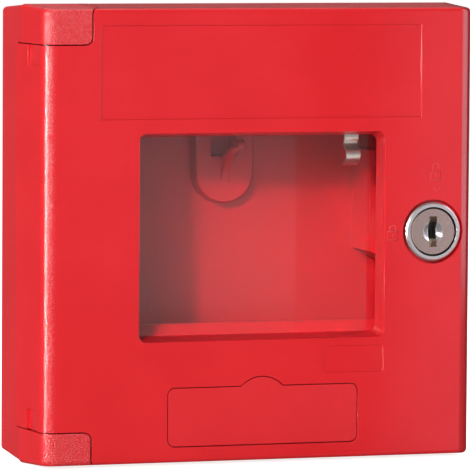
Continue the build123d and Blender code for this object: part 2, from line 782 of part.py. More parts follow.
with BuildPart() as lock_housing:
    with BuildSketch(lock_sketch(lock_seat)):
        Circle(flange_radius)
    extrude(amount=flange_front - lock_seat)
    chamfer(lock_housing.faces().sort_by(Axis.Y)[0].edges(), fine_chamfer)
    with BuildSketch(lock_sketch(barrel_end)):
        barrel_outline(0)
    extrude(amount=lock_seat - barrel_end)

    # counterbore of the plug's head, and the bore the plug turns in
    with BuildSketch(lock_sketch(head_rear - head_seat_gap)):
        Circle(head_radius + head_play)
    extrude(amount=flange_front - head_rear + 1, mode=Mode.SUBTRACT)
    with BuildSketch(lock_sketch(plug_shoulder - 1)):
        Circle(plug_radius + plug_fit)
    extrude(amount=flange_front, mode=Mode.SUBTRACT)

    # channels above and below the bore, where raised wafers lock the plug
    with BuildSketch(lock_sketch(channel_start)):
        Rectangle(channel_width, 2 * channel_reach)
    extrude(amount=channel_end - channel_start, mode=Mode.SUBTRACT)

    # grooves across the flats for the retaining clip
    with BuildSketch(lock_sketch(retainer_rear)):
        for side in (-1, 1):
            with Locations((side * (groove_flat + barrel_radius), 0)):
                Rectangle(2 * barrel_radius, 4 * barrel_radius)
    extrude(amount=retainer_thickness + 2 * retainer_play, mode=Mode.SUBTRACT)

    # end stop: a raised sector that the stop washer's tab turns between
    with BuildSketch(lock_sketch(barrel_end)):
        sector(plug_radius + stop_play, stop_block_radius, stop_start, stop_block_angle)
        Rectangle(2 * barrel_flat, 4 * barrel_radius, mode=Mode.INTERSECT)
    extrude(amount=plug_shoulder + stop_play - barrel_end)
lock_housing.part.label = "lock_housing"
export_step(lock_housing.part, "parts/lock_housing.step")

with BuildPart() as lock_retainer:
    with BuildSketch(lock_sketch(retainer_rear + retainer_play)):
        RectangleRounded(2 * retainer_half, 2 * retainer_half, retainer_corner)
        jaw = 2 * groove_flat + retainer_play
        Rectangle(jaw, 2 * (barrel_radius + retainer_play), mode=Mode.SUBTRACT)
        with Locations((0, -retainer_half)):
            Rectangle(jaw, 2 * retainer_half, mode=Mode.SUBTRACT)
    extrude(amount=retainer_thickness)
lock_retainer.part.label = "lock_retainer"
export_step(lock_retainer.part, "parts/lock_retainer.step")

with BuildPart() as lock_plug:
    with BuildSketch(lock_sketch(head_rear)):
        Circle(head_radius)
    extrude(amount=head_front - head_rear)
    chamfer(lock_plug.faces().sort_by(Axis.Y)[0].edges(), head_chamfer)
    with BuildSketch(lock_sketch(plug_shoulder)):
        Circle(plug_radius)
    extrude(amount=head_rear - plug_shoulder)
    with BuildSketch(lock_sketch(tail_end)):
        Rectangle(2 * tail_half, 2 * tail_half)
    extrude(amount=plug_shoulder - tail_end)
    chamfer(lock_plug.faces().sort_by(Axis.Y)[-1].edges(), tail_chamfer)

    # keyway, and the dished well round its mouth
    with BuildSketch(lock_sketch(head_front - well_depth)):
        Circle(well_floor_radius)
    with BuildSketch(lock_sketch(head_front)):
        Circle(well_radius)
    loft(mode=Mode.SUBTRACT)
    with BuildSketch(lock_sketch(head_front)):
        Rectangle(keyway_width, keyway_height)
    extrude(amount=-keyway_depth, mode=Mode.SUBTRACT)

    # slots for the wafers, right through, each with a side bore for its spring
    for number in range(wafer_count):
        height = wafer_first - number * wafer_pitch
        with BuildSketch(lock_sketch(height - wafer_thickness / 2 - wafer_play / 2)):
            Rectangle(wafer_width + 2 * wafer_play, 4 * plug_radius)
        extrude(amount=wafer_thickness + wafer_play, mode=Mode.SUBTRACT)
        with BuildSketch(lock_sketch(height - spring_bore / 2)):
            with Locations((spring_x, (spring_seat[0] + spring_seat[1]) / 2)):
                Rectangle(spring_bore, spring_seat[1] - spring_seat[0])
        extrude(amount=spring_bore, mode=Mode.SUBTRACT)

    # thread hole of the cam's screw
    with BuildSketch(lock_sketch(tail_end)):
        Circle(screw_radius)
    extrude(amount=screw_depth, mode=Mode.SUBTRACT)
lock_plug.part.label = "lock_plug"
export_step(lock_plug.part, "parts/lock_plug.step")

# wafers, each with its own window height, and a lug that its spring pushes
for number in range(wafer_count):
    height = wafer_first - number * wafer_pitch
    window_shift = wafer_shifts[number]
    with BuildPart() as wafer:
        with BuildSketch(lock_sketch(height - wafer_thickness / 2)):
            Circle(plug_radius - wafer_play / 2)
            Rectangle(wafer_width, 4 * plug_radius, mode=Mode.INTERSECT)
            with Locations((0, window_shift)):
                Rectangle(keyway_width, wafer_window, mode=Mode.SUBTRACT)
            with Locations((wafer_width / 2, lug_z)):
                Rectangle(2 * lug_length, lug_height)
        extrude(amount=wafer_thickness)
    wafer.part.label = f"wafer_{number + 1}"
    export_step(wafer.part, f"parts/wafer_{number + 1}.step")

for number in range(wafer_count):
    height = wafer_first - number * wafer_pitch
    with BuildPart() as wafer_spring:
        with BuildLine(Plane((lock_x + spring_x, -height, spring_foot))):
            coil = Polyline(*coil_points())
        with BuildSketch(Plane(origin=coil @ 0, z_dir=coil % 0)):
            RegularPolygon(spring_wire, 5)
        sweep(path=coil, transition=Transition.RIGHT)
    wafer_spring.part.label = f"wafer_spring_{number + 1}"
    export_step(wafer_spring.part, f"parts/wafer_spring_{number + 1}.step")

square_hole = 2 * (tail_half + tail_play)
with BuildPart() as stop_washer:
    with BuildSketch(lock_sketch(plug_shoulder - stop_thickness)):
        Circle(stop_disc_radius)
        sector(stop_disc_radius - 1, stop_tab_radius, tab_middle - stop_tab_angle / 2, stop_tab_angle)
        Rectangle(square_hole, square_hole, mode=Mode.SUBTRACT)
    extrude(amount=stop_thickness)
    with BuildSketch(lock_sketch(plug_shoulder)):
        sector(plug_radius + stop_play, stop_tab_radius, tab_middle - stop_tab_angle / 2, stop_tab_angle)
    extrude(amount=stop_tab_rise)
stop_washer.part.label = "stop_washer"
export_step(stop_washer.part, "parts/stop_washer.step")

with BuildPart() as lock_cam:
    with BuildSketch(lock_sketch(cam_front - cam_thickness)):
        Circle(cam_reach)
        with Locations((0, -cam_reach)):
            Rectangle(cam_arm_width, 2 * cam_reach, mode=Mode.INTERSECT)
        Circle(cam_hub_radius)
        Rectangle(square_hole, square_hole, mode=Mode.SUBTRACT)
    extrude(amount=cam_thickness)
lock_cam.part.label = "lock_cam"
export_step(lock_cam.part, "parts/lock_cam.step")

with BuildPart() as cam_washer:
    with BuildSketch(lock_sketch(cam_front - cam_thickness - washer_thickness)):
        Circle(washer_radius)
        Circle(washer_hole, mode=Mode.SUBTRACT)
        with Locations((0, washer_radius)):
            Rectangle(washer_split, 2 * washer_radius, rotation=washer_split_angle, mode=Mode.SUBTRACT)
    extrude(amount=washer_thickness)
cam_washer.part.label = "cam_washer"
export_step(cam_washer.part, "parts/cam_washer.step")

with BuildPart() as cam_screw:
    head_top = cam_front - cam_thickness - washer_thickness
    with BuildSketch(lock_sketch(head_top)):
        Circle(screw_head_radius)
    extrude(amount=-screw_head_height)
    chamfer(cam_screw.faces().sort_by(Axis.Y)[-1].edges(), screw_head_chamfer)
    with BuildSketch(lock_sketch(head_top)):
        Circle(screw_radius - screw_play)
    extrude(amount=tail_end + screw_depth - screw_end_gap - head_top)
    with BuildSketch(lock_sketch(head_top - screw_head_height)):
        Rectangle(screw_cross, screw_cross_width)
        Rectangle(screw_cross_width, screw_cross)
    extrude(amount=screw_cross_depth, mode=Mode.SUBTRACT)
cam_screw.part.label = "cam_screw"
export_step(cam_screw.part, "parts/cam_screw.step")
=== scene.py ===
from math import cos, radians, sin

import bpy
from mathutils import Matrix, Vector


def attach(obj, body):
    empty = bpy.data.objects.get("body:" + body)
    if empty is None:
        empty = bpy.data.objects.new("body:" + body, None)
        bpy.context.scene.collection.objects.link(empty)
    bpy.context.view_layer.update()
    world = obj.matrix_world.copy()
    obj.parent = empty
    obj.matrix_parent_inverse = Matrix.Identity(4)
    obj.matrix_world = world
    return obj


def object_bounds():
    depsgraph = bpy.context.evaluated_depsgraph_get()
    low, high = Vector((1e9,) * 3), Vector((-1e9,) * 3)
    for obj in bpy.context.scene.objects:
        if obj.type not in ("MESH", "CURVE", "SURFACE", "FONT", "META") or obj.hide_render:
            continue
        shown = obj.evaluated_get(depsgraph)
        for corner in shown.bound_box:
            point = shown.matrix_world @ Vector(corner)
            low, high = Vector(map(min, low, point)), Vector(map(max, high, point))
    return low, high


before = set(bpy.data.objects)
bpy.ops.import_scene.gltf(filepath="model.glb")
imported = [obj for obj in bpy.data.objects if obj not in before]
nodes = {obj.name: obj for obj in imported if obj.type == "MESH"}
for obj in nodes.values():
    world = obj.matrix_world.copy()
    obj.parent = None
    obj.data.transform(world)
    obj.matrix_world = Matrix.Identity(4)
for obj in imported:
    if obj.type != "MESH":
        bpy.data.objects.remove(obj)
cad_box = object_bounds()
scene = bpy.context.scene

MM = 0.001
# Places on the box, in mm
HALF_WIDTH = 70.0  # of the door, where it meets the back box
FACE = -45.0  # the door's front face lies at this y
LOCK_X = 56.6  # the lock's axis, at mid height
WAFERS = 5


# ---------------------------------------------------------------- small helpers
def point(x, y, z):
    """A point given in millimetres."""
    return Vector((x * MM, y * MM, z * MM))


def direction(left, up):
    """Unit vector out from the door, turned left and up by angles in degrees."""
    left, up = radians(left), radians(up)
    return Vector((-sin(left) * cos(up), -cos(left) * cos(up), sin(up)))


def add_node(tree, kind, **values):
    """A node with its properties and input values set by name."""
    item = tree.nodes.new(kind)
    for name, value in values.items():
        if hasattr(item, name):
            setattr(item, name, value)
        else:
            item.inputs[name.replace("_", " ")].default_value = value
    return item


def object_place(tree):
    """The object's own coordinates, whole and split into x, y and z."""
    where = tree.nodes.new("ShaderNodeTexCoord").outputs["Object"]
    split = tree.nodes.new("ShaderNodeSeparateXYZ")
    tree.links.new(where, split.inputs["Vector"])
    return where, split.outputs


def maths(tree, operation, first, second=0.5, clamp=False):
    """A Math node on sockets or numbers; gives its output socket."""
    item = tree.nodes.new("ShaderNodeMath")
    item.operation = operation
    item.use_clamp = clamp
    for place, value in enumerate((first, second)):
        if isinstance(value, (int, float)):
            item.inputs[place].default_value = value
        else:
            tree.links.new(value, item.inputs[place])
    return item.outputs[0]


def ramp_between(tree, value, low, high, start=0.0, end=1.0):
    """Smooth step of a value between two limits."""
    item = tree.nodes.new("ShaderNodeMapRange")
    item.interpolation_type = "SMOOTHSTEP"
    for name, number in (("From Min", low), ("From Max", high), ("To Min", start), ("To Max", end)):
        item.inputs[name].default_value = number
    tree.links.new(value, item.inputs["Value"])
    return item.outputs["Result"]


def noise(tree, where, size_mm, detail=2.0, roughness=0.5):
    """Noise whose features are about size_mm across."""
    item = tree.nodes.new("ShaderNodeTexNoise")
    item.inputs["Scale"].default_value = 1.0 / (size_mm * MM)
    item.inputs["Detail"].default_value = detail
    item.inputs["Roughness"].default_value = roughness
    tree.links.new(where, item.inputs["Vector"])
    return item.outputs["Fac"]


def mix_colour(tree, amount, first, second):
    """Mix of two colours; each is a socket or three numbers."""
    item = tree.nodes.new("ShaderNodeMix")
    item.data_type = "RGBA"
    tree.links.new(amount, item.inputs["Factor"])
    for name, value in (("A", first), ("B", second)):
        socket = [s for s in item.inputs if s.name == name and s.type == "RGBA"][0]
        if isinstance(value, tuple):
            socket.default_value = (*value, 1.0)
        else:
            tree.links.new(value, socket)
    return [s for s in item.outputs if s.type == "RGBA"][0]


def new_group(name, inputs, outputs):
    """Shader node group: its number inputs with their values, and the names of its number outputs."""
    group = bpy.data.node_groups.new(name, "ShaderNodeTree")
    for label, value in inputs:
        socket = group.interface.new_socket(label, in_out="INPUT", socket_type="NodeSocketFloat")
        socket.default_value = value
    for label in outputs:
        group.interface.new_socket(label, in_out="OUTPUT", socket_type="NodeSocketFloat")
    return group, group.nodes.new("NodeGroupInput"), group.nodes.new("NodeGroupOutput")


def use_group(tree, group, **values):
    """Places a node group in a material, with its own values."""
    item = tree.nodes.new("ShaderNodeGroup")
    item.node_tree = group
    for name, value in values.items():
        item.inputs[name.replace("_", " ")].default_value = value
    return item


# ---------------------------------------------------------------- effects that several finishes share
def make_grain_group():
    """Spark-eroded mould grain: rounded pits and bumps of one size, and a mask of their high points for
    painted glints.
    """
    pits_a_metre = 2400.0
    pit_share = 0.7
    glint_from, glint_full = 0.75, 1.0
    group, given, result = new_group("mould grain", [("Scale", pits_a_metre)], ["Height", "Glint mask"])
    where, _ = object_place(group)
    cells = add_node(group, "ShaderNodeTexVoronoi", feature="SMOOTH_F1", Smoothness=0.6)
    fine = add_node(group, "ShaderNodeTexNoise", Detail=2.0)
    for texture in (cells, fine):
        group.links.new(where, texture.inputs["Vector"])
        group.links.new(given.outputs["Scale"], texture.inputs["Scale"])
    pits = maths(group, "MULTIPLY", cells.outputs["Distance"], pit_share)
    height = maths(group, "ADD", pits, fine.outputs["Fac"])
    group.links.new(height, result.inputs["Height"])
    group.links.new(ramp_between(group, height, glint_from, glint_full), result.inputs["Glint mask"])
    return group


def make_handling_group():
    """Handling marks: faint fine scratches, and soft smears a few millimetres across."""
    scratch_mm, smear_mm = 5.0, 9.0
    scratch_stretch = 26.0
    scratch_turns = (0.3, 1.2, 2.4)
    group, _, result = new_group("handling marks", [], ["Scratch", "Smear"])
    where, _ = object_place(group)
    strokes = []
    for turn in scratch_turns:
        mapping = add_node(group, "ShaderNodeMapping")
        mapping.inputs["Rotation"].default_value = (0.2, turn, 0.1)
        mapping.inputs["Scale"].default_value = (1.0, 1.0, scratch_stretch)
        group.links.new(where, mapping.inputs["Vector"])
        line = noise(group, mapping.outputs["Vector"], scratch_mm, 3.0, 0.7)
        strokes.append(ramp_between(group, line, 0.675, 0.70))
    both = maths(group, "MAXIMUM", strokes[0], maths(group, "MAXIMUM", strokes[1], strokes[2]))
    group.links.new(both, result.inputs["Scratch"])
    smear = ramp_between(group, noise(group, where, smear_mm, 4.0, 0.6), 0.45, 0.75)
    group.links.new(smear, result.inputs["Smear"])
    return group


def make_dust_group():
    """Settled dust: on what faces up near the top, in soft patches with single specks."""
    patch_mm, speck_mm = 6.0, 0.5
    tilted, level = 0.55, 0.98  # upward part of the normal where dust begins to lie, and lies in full
    bare_below, full_above = 55.0, 66.0  # heights in mm
    group, given, result = new_group("settled dust", [("Amount", 0.16)], ["Mask"])
    where, place = object_place(group)
    facing = group.nodes.new("ShaderNodeSeparateXYZ")
    group.links.new(group.nodes.new("ShaderNodeNewGeometry").outputs["Normal"], facing.inputs["Vector"])
    upward = ramp_between(group, facing.outputs["Z"], tilted, level)
    high_up = ramp_between(group, place["Z"], bare_below * MM, full_above * MM)
    patches = ramp_between(group, noise(group, where, patch_mm, 5.0, 0.65), 0.3, 0.7, 0.35, 1.0)
    specks = ramp_between(group, noise(group, where, speck_mm, 1.0), 0.62, 0.72)
    amount = maths(group, "MULTIPLY", maths(group, "ADD", patches, specks), given.outputs["Amount"])
    lying = maths(group, "MULTIPLY", upward, high_up)
    group.links.new(maths(group, "MULTIPLY", amount, lying, clamp=True), result.inputs["Mask"])
    return group


def make_shelter_group():
    """1 on the faces shut in behind the door's front wall, 0 on the outside."""
    group, given, result = new_group(
        "sheltered faces", [("Half mm", 66.5), ("Front mm", -43.6), ("Left mm", -63.0)], ["Mask"]
    )
    _, place = object_place(group)
    half = maths(group, "MULTIPLY", given.outputs["Half mm"], MM)
    left = maths(group, "MULTIPLY", given.outputs["Left mm"], MM)
    front = maths(group, "MULTIPLY", given.outputs["Front mm"], MM)
    mask = maths(group, "GREATER_THAN", place["Y"], front)
    for test in (
        maths(group, "GREATER_THAN", place["X"], left),
        maths(group, "LESS_THAN", place["X"], half),
        maths(group, "LESS_THAN", maths(group, "ABSOLUTE", place["Z"]), half),
    ):
        mask = maths(group, "MULTIPLY", mask, test)
    group.links.new(mask, result.inputs["Mask"])
    return group


def make_turning_group():
    """Turning marks round the lock's axis, its dished keyway, and the gap round the plug's head, which gets
    painted shade.
    """
    arc_stretch = 1.6
    gap_depth = 0.3  # mm behind the door's face, from where the gap is dark
    group, given, result = new_group(
        "turning marks",
        [("Ring mm", 0.12), ("Dish mm", 3.3), ("Gap mm", 7.48), ("Gap half mm", 0.19)],
        ["Height", "Shade", "Dish", "Gap"],
    )
    _, place = object_place(group)
    across = maths(group, "SUBTRACT", place["X"], LOCK_X * MM)
    across_squared = maths(group, "MULTIPLY", across, across)
    up_squared = maths(group, "MULTIPLY", place["Z"], place["Z"])
    radius = maths(group, "SQRT", maths(group, "ADD", across_squared, up_squared))
    turn = maths(group, "ARCTAN2", place["Z"], across)
    join = group.nodes.new("ShaderNodeCombineXYZ")
    ring_size = maths(group, "MULTIPLY", given.outputs["Ring mm"], MM)
    group.links.new(maths(group, "DIVIDE", radius, ring_size), join.inputs["X"])
    group.links.new(maths(group, "MULTIPLY", turn, arc_stretch), join.inputs["Y"])
    group.links.new(maths(group, "DIVIDE", place["Y"], ring_size), join.inputs["Z"])
    rings = add_node(group, "ShaderNodeTexNoise", Scale=1.0, Detail=3.0, Roughness=0.6)
    group.links.new(join.outputs["Vector"], rings.inputs["Vector"])
    group.links.new(rings.outputs["Fac"], result.inputs["Height"])
    group.links.new(ramp_between(group, rings.outputs["Fac"], 0.35, 0.65), result.inputs["Shade"])
    dish = maths(group, "MULTIPLY", given.outputs["Dish mm"], MM)
    group.links.new(maths(group, "LESS_THAN", radius, dish), result.inputs["Dish"])
    gap_half = maths(group, "MULTIPLY", given.outputs["Gap half mm"], MM)
    off_gap = maths(group, "SUBTRACT", radius, maths(group, "MULTIPLY", given.outputs["Gap mm"], MM))
    in_gap = maths(group, "LESS_THAN", maths(group, "ABSOLUTE", off_gap), gap_half)
    sunk = maths(group, "GREATER_THAN", place["Y"], (FACE - gap_depth) * MM)
    group.links.new(maths(group, "MULTIPLY", in_gap, sunk), result.inputs["Gap"])
    return group


GRAIN = make_grain_group()
HANDLING = make_handling_group()
DUST = make_dust_group()
SHELTER = make_shelter_group()
TURNING = make_turning_group()


# ---------------------------------------------------------------- finishes
def new_finish(name):
    """Material with an empty Principled shader; gives material, tree and shader."""
    material = bpy.data.materials.new(name)
    material.use_nodes = True
    tree = material.node_tree
    shader = [n for n in tree.nodes if n.type == "BSDF_PRINCIPLED"][0]
    return material, tree, shader


def roughen(tree, shader, base, *parts):
    """Roughness from a base and what each mask adds to it, or takes from it where its share is below 0."""
    total = base
    for mask, share in parts:
        total = maths(tree, "ADD", total, maths(tree, "MULTIPLY", mask, share), clamp=True)
    tree.links.new(total, shader.inputs["Roughness"])


def bump(tree, shader, height, depth_mm, after=None):
    """Bump of a real depth, fed to the shader's normal; gives the normal for stacking."""
    item = add_node(tree, "ShaderNodeBump", Distance=depth_mm * MM)
    tree.links.new(height, item.inputs["Height"])
    if after is not None:
        tree.links.new(after, item.inputs["Normal"])
    tree.links.new(item.outputs["Normal"], shader.inputs["Normal"])
    return item.outputs["Normal"]


def soft_edge(tree, radius_mm):
    """Normal that rounds the sharp edges of a piece over a small radius."""
    return add_node(tree, "ShaderNodeBevel", Radius=radius_mm * MM).outputs["Normal"]


def soft_corner(tree, across, edge_mm):
    """Rounds sharp edges, and leans the shading of the strip beside the front's free edge outwards."""
    begins, full, most = HALF_WIDTH - 5.0, HALF_WIDTH - 3.1, 0.6
    aside = tree.nodes.new("ShaderNodeCombineXYZ")
    tree.links.new(ramp_between(tree, across, begins * MM, full * MM, 0.0, most), aside.inputs["X"])
    turned = add_node(
        tree, "ShaderNodeVectorTransform", vector_type="VECTOR", convert_from="OBJECT", convert_to="WORLD"
    )
    tree.links.new(aside.outputs["Vector"], turned.inputs["Vector"])
    total = add_node(tree, "ShaderNodeVectorMath", operation="ADD")
    tree.links.new(soft_edge(tree, edge_mm), total.inputs[0])
    tree.links.new(turned.outputs["Vector"], total.inputs[1])
    unit = add_node(tree, "ShaderNodeVectorMath", operation="NORMALIZE")
    tree.links.new(total.outputs["Vector"], unit.inputs[0])
    return unit.outputs["Vector"]


# Linear colours of the red plastic, of what lies on it, and of the shade, glints and highlight painted on it
RED = (0.690, 0.012, 0.017)
RED_PALER = (0.730, 0.015, 0.021)
# Painted shade for the faces shut in behind the door's front wall
RED_PAINTED_SHADE = (0.560, 0.005, 0.011)
# Painted glint on the grain's high points
RED_PAINTED_GLINT = (0.88, 0.20, 0.22)
# Colour of scuff marks, and of the painted highlight on the raised marks
RED_SCUFF_AND_HIGHLIGHT = (0.80, 0.16, 0.17)
RED_DUSTY = (0.72, 0.40, 0.40)
DRIFT_MM = 34.0  # size of the slow drift in colour
FLOW_MM = 2.2  # size of the faint waves in the moulded skin
FLOW_DEPTH_MM = 0.004
# Shares laid over the colour below: painted shade inside, painted glints on the grain, and real scuff marks
PAINTED_SHADE_TINT, PAINTED_GLINT_TINT, SCUFF_TINT = 0.8, 0.25, 0.04  # how much of each is laid over the colour below
SMEAR_DULL, SHELTER_DULL, DUST_DULL, GRAIN_DULL = 0.02, 0.15, 0.3, 0.05  # what each adds to the roughness
# x places between which the side turns to the front, and what is left of the grain on the side
FLANK_FROM, FLANK_TO = 0.6 - HALF_WIDTH, 3.1 - HALF_WIDTH
FLANK_GRAIN = 0.08


def red_plastic(name, gloss, grain=None, edge_mm=0.3, painted_highlight=0.0):
    """Moulded red plastic. Grain gives the x where it starts to fade and is gone, and its depth, in mm.

    Its painted highlight pales the whole piece towards the scuff colour, for the light that raised marks
    catch.
    """
    material, tree, shader = new_finish(name)
    where, place = object_place(tree)
    marks = use_group(tree, HANDLING)
    dust = use_group(tree, DUST).outputs["Mask"]
    shelter = use_group(tree, SHELTER).outputs["Mask"]
    drift = ramp_between(tree, noise(tree, where, DRIFT_MM, 3.0), 0.3, 0.7)
    dulling = [(marks.outputs["Smear"], SMEAR_DULL), (shelter, SHELTER_DULL), (dust, DUST_DULL)]

    flow = noise(tree, where, FLOW_MM, 3.0)
    skin = bump(tree, shader, flow, FLOW_DEPTH_MM, after=soft_corner(tree, place["X"], edge_mm))

    colour = mix_colour(tree, drift, RED, RED_PALER)
    # Painted shade: the faces shut in behind the front wall are darkened to stand in for the shade inside
    # the box
    colour = mix_colour(tree, maths(tree, "MULTIPLY", shelter, PAINTED_SHADE_TINT), colour, RED_PAINTED_SHADE)
    if grain:
        fades_from, gone_at, depth_mm = grain
        grained = ramp_between(tree, place["X"], fades_from * MM, gone_at * MM, 1.0, 0.0)
        flank = ramp_between(tree, place["X"], FLANK_FROM * MM, FLANK_TO * MM, FLANK_GRAIN, 1.0)
        grained = maths(tree, "MULTIPLY", grained, flank)
        pits = use_group(tree, GRAIN)
        # Painted glints: the grain's high points are lightened for the sparkle of grain catching light
        painted_glints = maths(tree, "MULTIPLY", pits.outputs["Glint mask"], maths(tree, "MULTIPLY", grained, PAINTED_GLINT_TINT))
        colour = mix_colour(tree, painted_glints, colour, RED_PAINTED_GLINT)
        dulling.append((grained, GRAIN_DULL))
        bump(tree, shader, maths(tree, "MULTIPLY", pits.outputs["Height"], grained), depth_mm, after=skin)
    # Real scuff marks, plus the painted highlight that pales a whole piece
    scuffs_and_highlight = maths(tree, "ADD", maths(tree, "MULTIPLY", marks.outputs["Scratch"], SCUFF_TINT), painted_highlight)
    colour = mix_colour(tree, scuffs_and_highlight, colour, RED_SCUFF_AND_HIGHLIGHT)
    tree.links.new(mix_colour(tree, dust, colour, RED_DUSTY), shader.inputs["Base Color"])
    roughen(tree, shader, gloss, *dulling)
    return material


def clear_glass():
    """Window glass, with a few smears. Light for the inside passes it without bending."""
    clear_tint = (0.985, 0.995, 0.99, 1.0)
    shadow_tint = (0.93, 0.94, 0.935, 1.0)
    material, tree, shader = new_finish("window glass")
    shader.inputs["Base Color"].default_value = clear_tint
    shader.inputs["Transmission Weight"].default_value = 1.0
    shader.inputs["IOR"].default_value = 1.5
    roughen(tree, shader, 0.0, (use_group(tree, HANDLING).outputs["Smear"], SMEAR_DULL))
    clear = add_node(tree, "ShaderNodeBsdfTransparent", Color=shadow_tint)
    chooser = tree.nodes.new("ShaderNodeMixShader")
    rays = tree.nodes.new("ShaderNodeLightPath")
    tree.links.new(rays.outputs["Is Shadow Ray"], chooser.inputs["Fac"])
    tree.links.new(shader.outputs["BSDF"], chooser.inputs[1])
    tree.links.new(clear.outputs["BSDF"], chooser.inputs[2])
    output = [n for n in tree.nodes if n.type == "OUTPUT_MATERIAL"][0]
    tree.links.new(chooser.outputs["Shader"], output.inputs["Surface"])
    return material


POLISHED = (0.90, 0.88, 0.86)
# Near black for the gap round the plug's head: painted shade of the sunk gap, partly grime
GAP_SHADE_AND_GRIME = (0.02, 0.02, 0.02)
METAL_EDGE_MM = 0.08


def plated_metal(name, light, dark, gloss, ring_mm=0.12, depth_mm=0.004, tarnish=0.3):
    """Plated or plain metal with turning marks round the lock's axis and patchy tarnish."""
    tarnish_mm = 3.5
    ring_shade, dish_polish = 0.22, 0.8
    ring_dull, scratch_dull, dish_gloss = 0.10, 0.12, 0.10
    material, tree, shader = new_finish(name)
    shader.inputs["Metallic"].default_value = 1.0
    turning = use_group(tree, TURNING, Ring_mm=ring_mm)
    scratch = use_group(tree, HANDLING).outputs["Scratch"]
    rings, dish = turning.outputs["Shade"], turning.outputs["Dish"]
    where, _ = object_place(tree)
    cloud = ramp_between(tree, noise(tree, where, tarnish_mm, 5.0, 0.65), 0.35, 0.75)
    clouded = maths(tree, "MULTIPLY", cloud, tarnish)
    shade = maths(tree, "ADD", clouded, maths(tree, "MULTIPLY", rings, ring_shade), clamp=True)
    plated = mix_colour(tree, shade, light, dark)
    polished = mix_colour(tree, maths(tree, "MULTIPLY", dish, dish_polish), plated, POLISHED)
    # Painted shade, partly grime, in the gap round the plug's head
    gap_shaded = mix_colour(tree, turning.outputs["Gap"], polished, GAP_SHADE_AND_GRIME)
    tree.links.new(gap_shaded, shader.inputs["Base Color"])
    roughen(tree, shader, gloss, (rings, ring_dull), (scratch, scratch_dull), (dish, -dish_gloss))
    bump(tree, shader, turning.outputs["Height"], depth_mm, after=soft_edge(tree, METAL_EDGE_MM))
    return material


def rolled_metal(name, light, dark, gloss, grain_axis, tarnish=0.35):
    """Strip, wire or pressed metal, with its rolling lines along one axis."""
    line_mm, line_depth_mm, tarnish_mm = 0.22, 0.006, 2.0
    line_stretch, line_shade, line_dull = 0.06, 0.2, 0.15
    material, tree, shader = new_finish(name)
    shader.inputs["Metallic"].default_value = 1.0
    where, _ = object_place(tree)
    mapping = add_node(tree, "ShaderNodeMapping")
    mapping.inputs["Scale"].default_value = [line_stretch if axis == grain_axis else 1.0 for axis in "xyz"]
    tree.links.new(where, mapping.inputs["Vector"])
    lines = noise(tree, mapping.outputs["Vector"], line_mm, 3.0, 0.6)
    cloud = ramp_between(tree, noise(tree, where, tarnish_mm, 5.0, 0.65), 0.35, 0.75)
    clouded = maths(tree, "MULTIPLY", cloud, tarnish)
    shade = maths(tree, "ADD", clouded, maths(tree, "MULTIPLY", lines, line_shade), clamp=True)
    tree.links.new(mix_colour(tree, shade, light, dark), shader.inputs["Base Color"])
    roughen(tree, shader, gloss, (lines, line_dull))
    bump(tree, shader, lines, line_depth_mm)
    return material


def wear(finish, *names):
    """Gives CAD nodes a finish."""
    for name in names:
        for holder in nodes[name].material_slots:
            holder.material = finish


RED_DOOR = red_plastic("red plastic, door", gloss=0.15, grain=(-66.6, -64.8, 0.12))
RED_BOX = red_plastic("red plastic, back box", gloss=0.22, grain=(-53.0, -52.0, 0.26))
RED_LABEL = red_plastic("red plastic, label plate", gloss=0.25)
# The raised marks get a painted highlight: paler red for the light their ribs catch
RED_MARK = red_plastic("red plastic, raised marks", gloss=0.22, edge_mm=0.04, painted_highlight=0.25)
# The pink-beige of these nickel colours is partly a painted reflection of the red plastic round the lock
NICKEL = plated_metal("satin nickel", (0.70, 0.485, 0.415), (0.56, 0.39, 0.33), gloss=0.24)
NICKEL_BARREL = plated_metal("nickel, barrel", (0.97, 0.87, 0.82), (0.74, 0.66, 0.62), gloss=0.24)
ZINC = plated_metal(
    "bright zinc", (0.62, 0.63, 0.64), (0.38, 0.38, 0.39),
    gloss=0.3, ring_mm=0.2, depth_mm=0.006, tarnish=0.45,
)
SPRING = rolled_metal("spring steel", (0.86, 0.76, 0.70), (0.42, 0.37, 0.34), gloss=0.22, grain_axis="x")
BRASS = rolled_metal("stamped wafers", (0.60, 0.56, 0.45), (0.33, 0.30, 0.24), gloss=0.3, grain_axis="z")
PIN_STEEL = rolled_metal("pin steel", (0.55, 0.55, 0.56), (0.30, 0.30, 0.31), gloss=0.25, grain_axis="z")

wear(RED_DOOR, "door")
wear(RED_BOX, "base")
wear(RED_LABEL, "label_plate")
wear(clear_glass(), "glass_pane")
wear(NICKEL, "lock_plug")
wear(NICKEL_BARREL, "lock_housing")
wear(ZINC, "stop_washer", "lock_cam", "cam_screw", "glass_clip_screw")
wear(SPRING, "glass_clip", "lock_retainer", "cam_washer")
wear(PIN_STEEL, "hinge_pin_top", "hinge_pin_bottom")
for number in range(1, WAFERS + 1):
    wear(BRASS, f"wafer_{number}")
    wear(SPRING, f"wafer_spring_{number}")


# ---------------------------------------------------------------- raised lock pictures
RIB_WIDTH = 0.36  # mm
RIB_RISE = 0.13
RIB_SIDES = 10


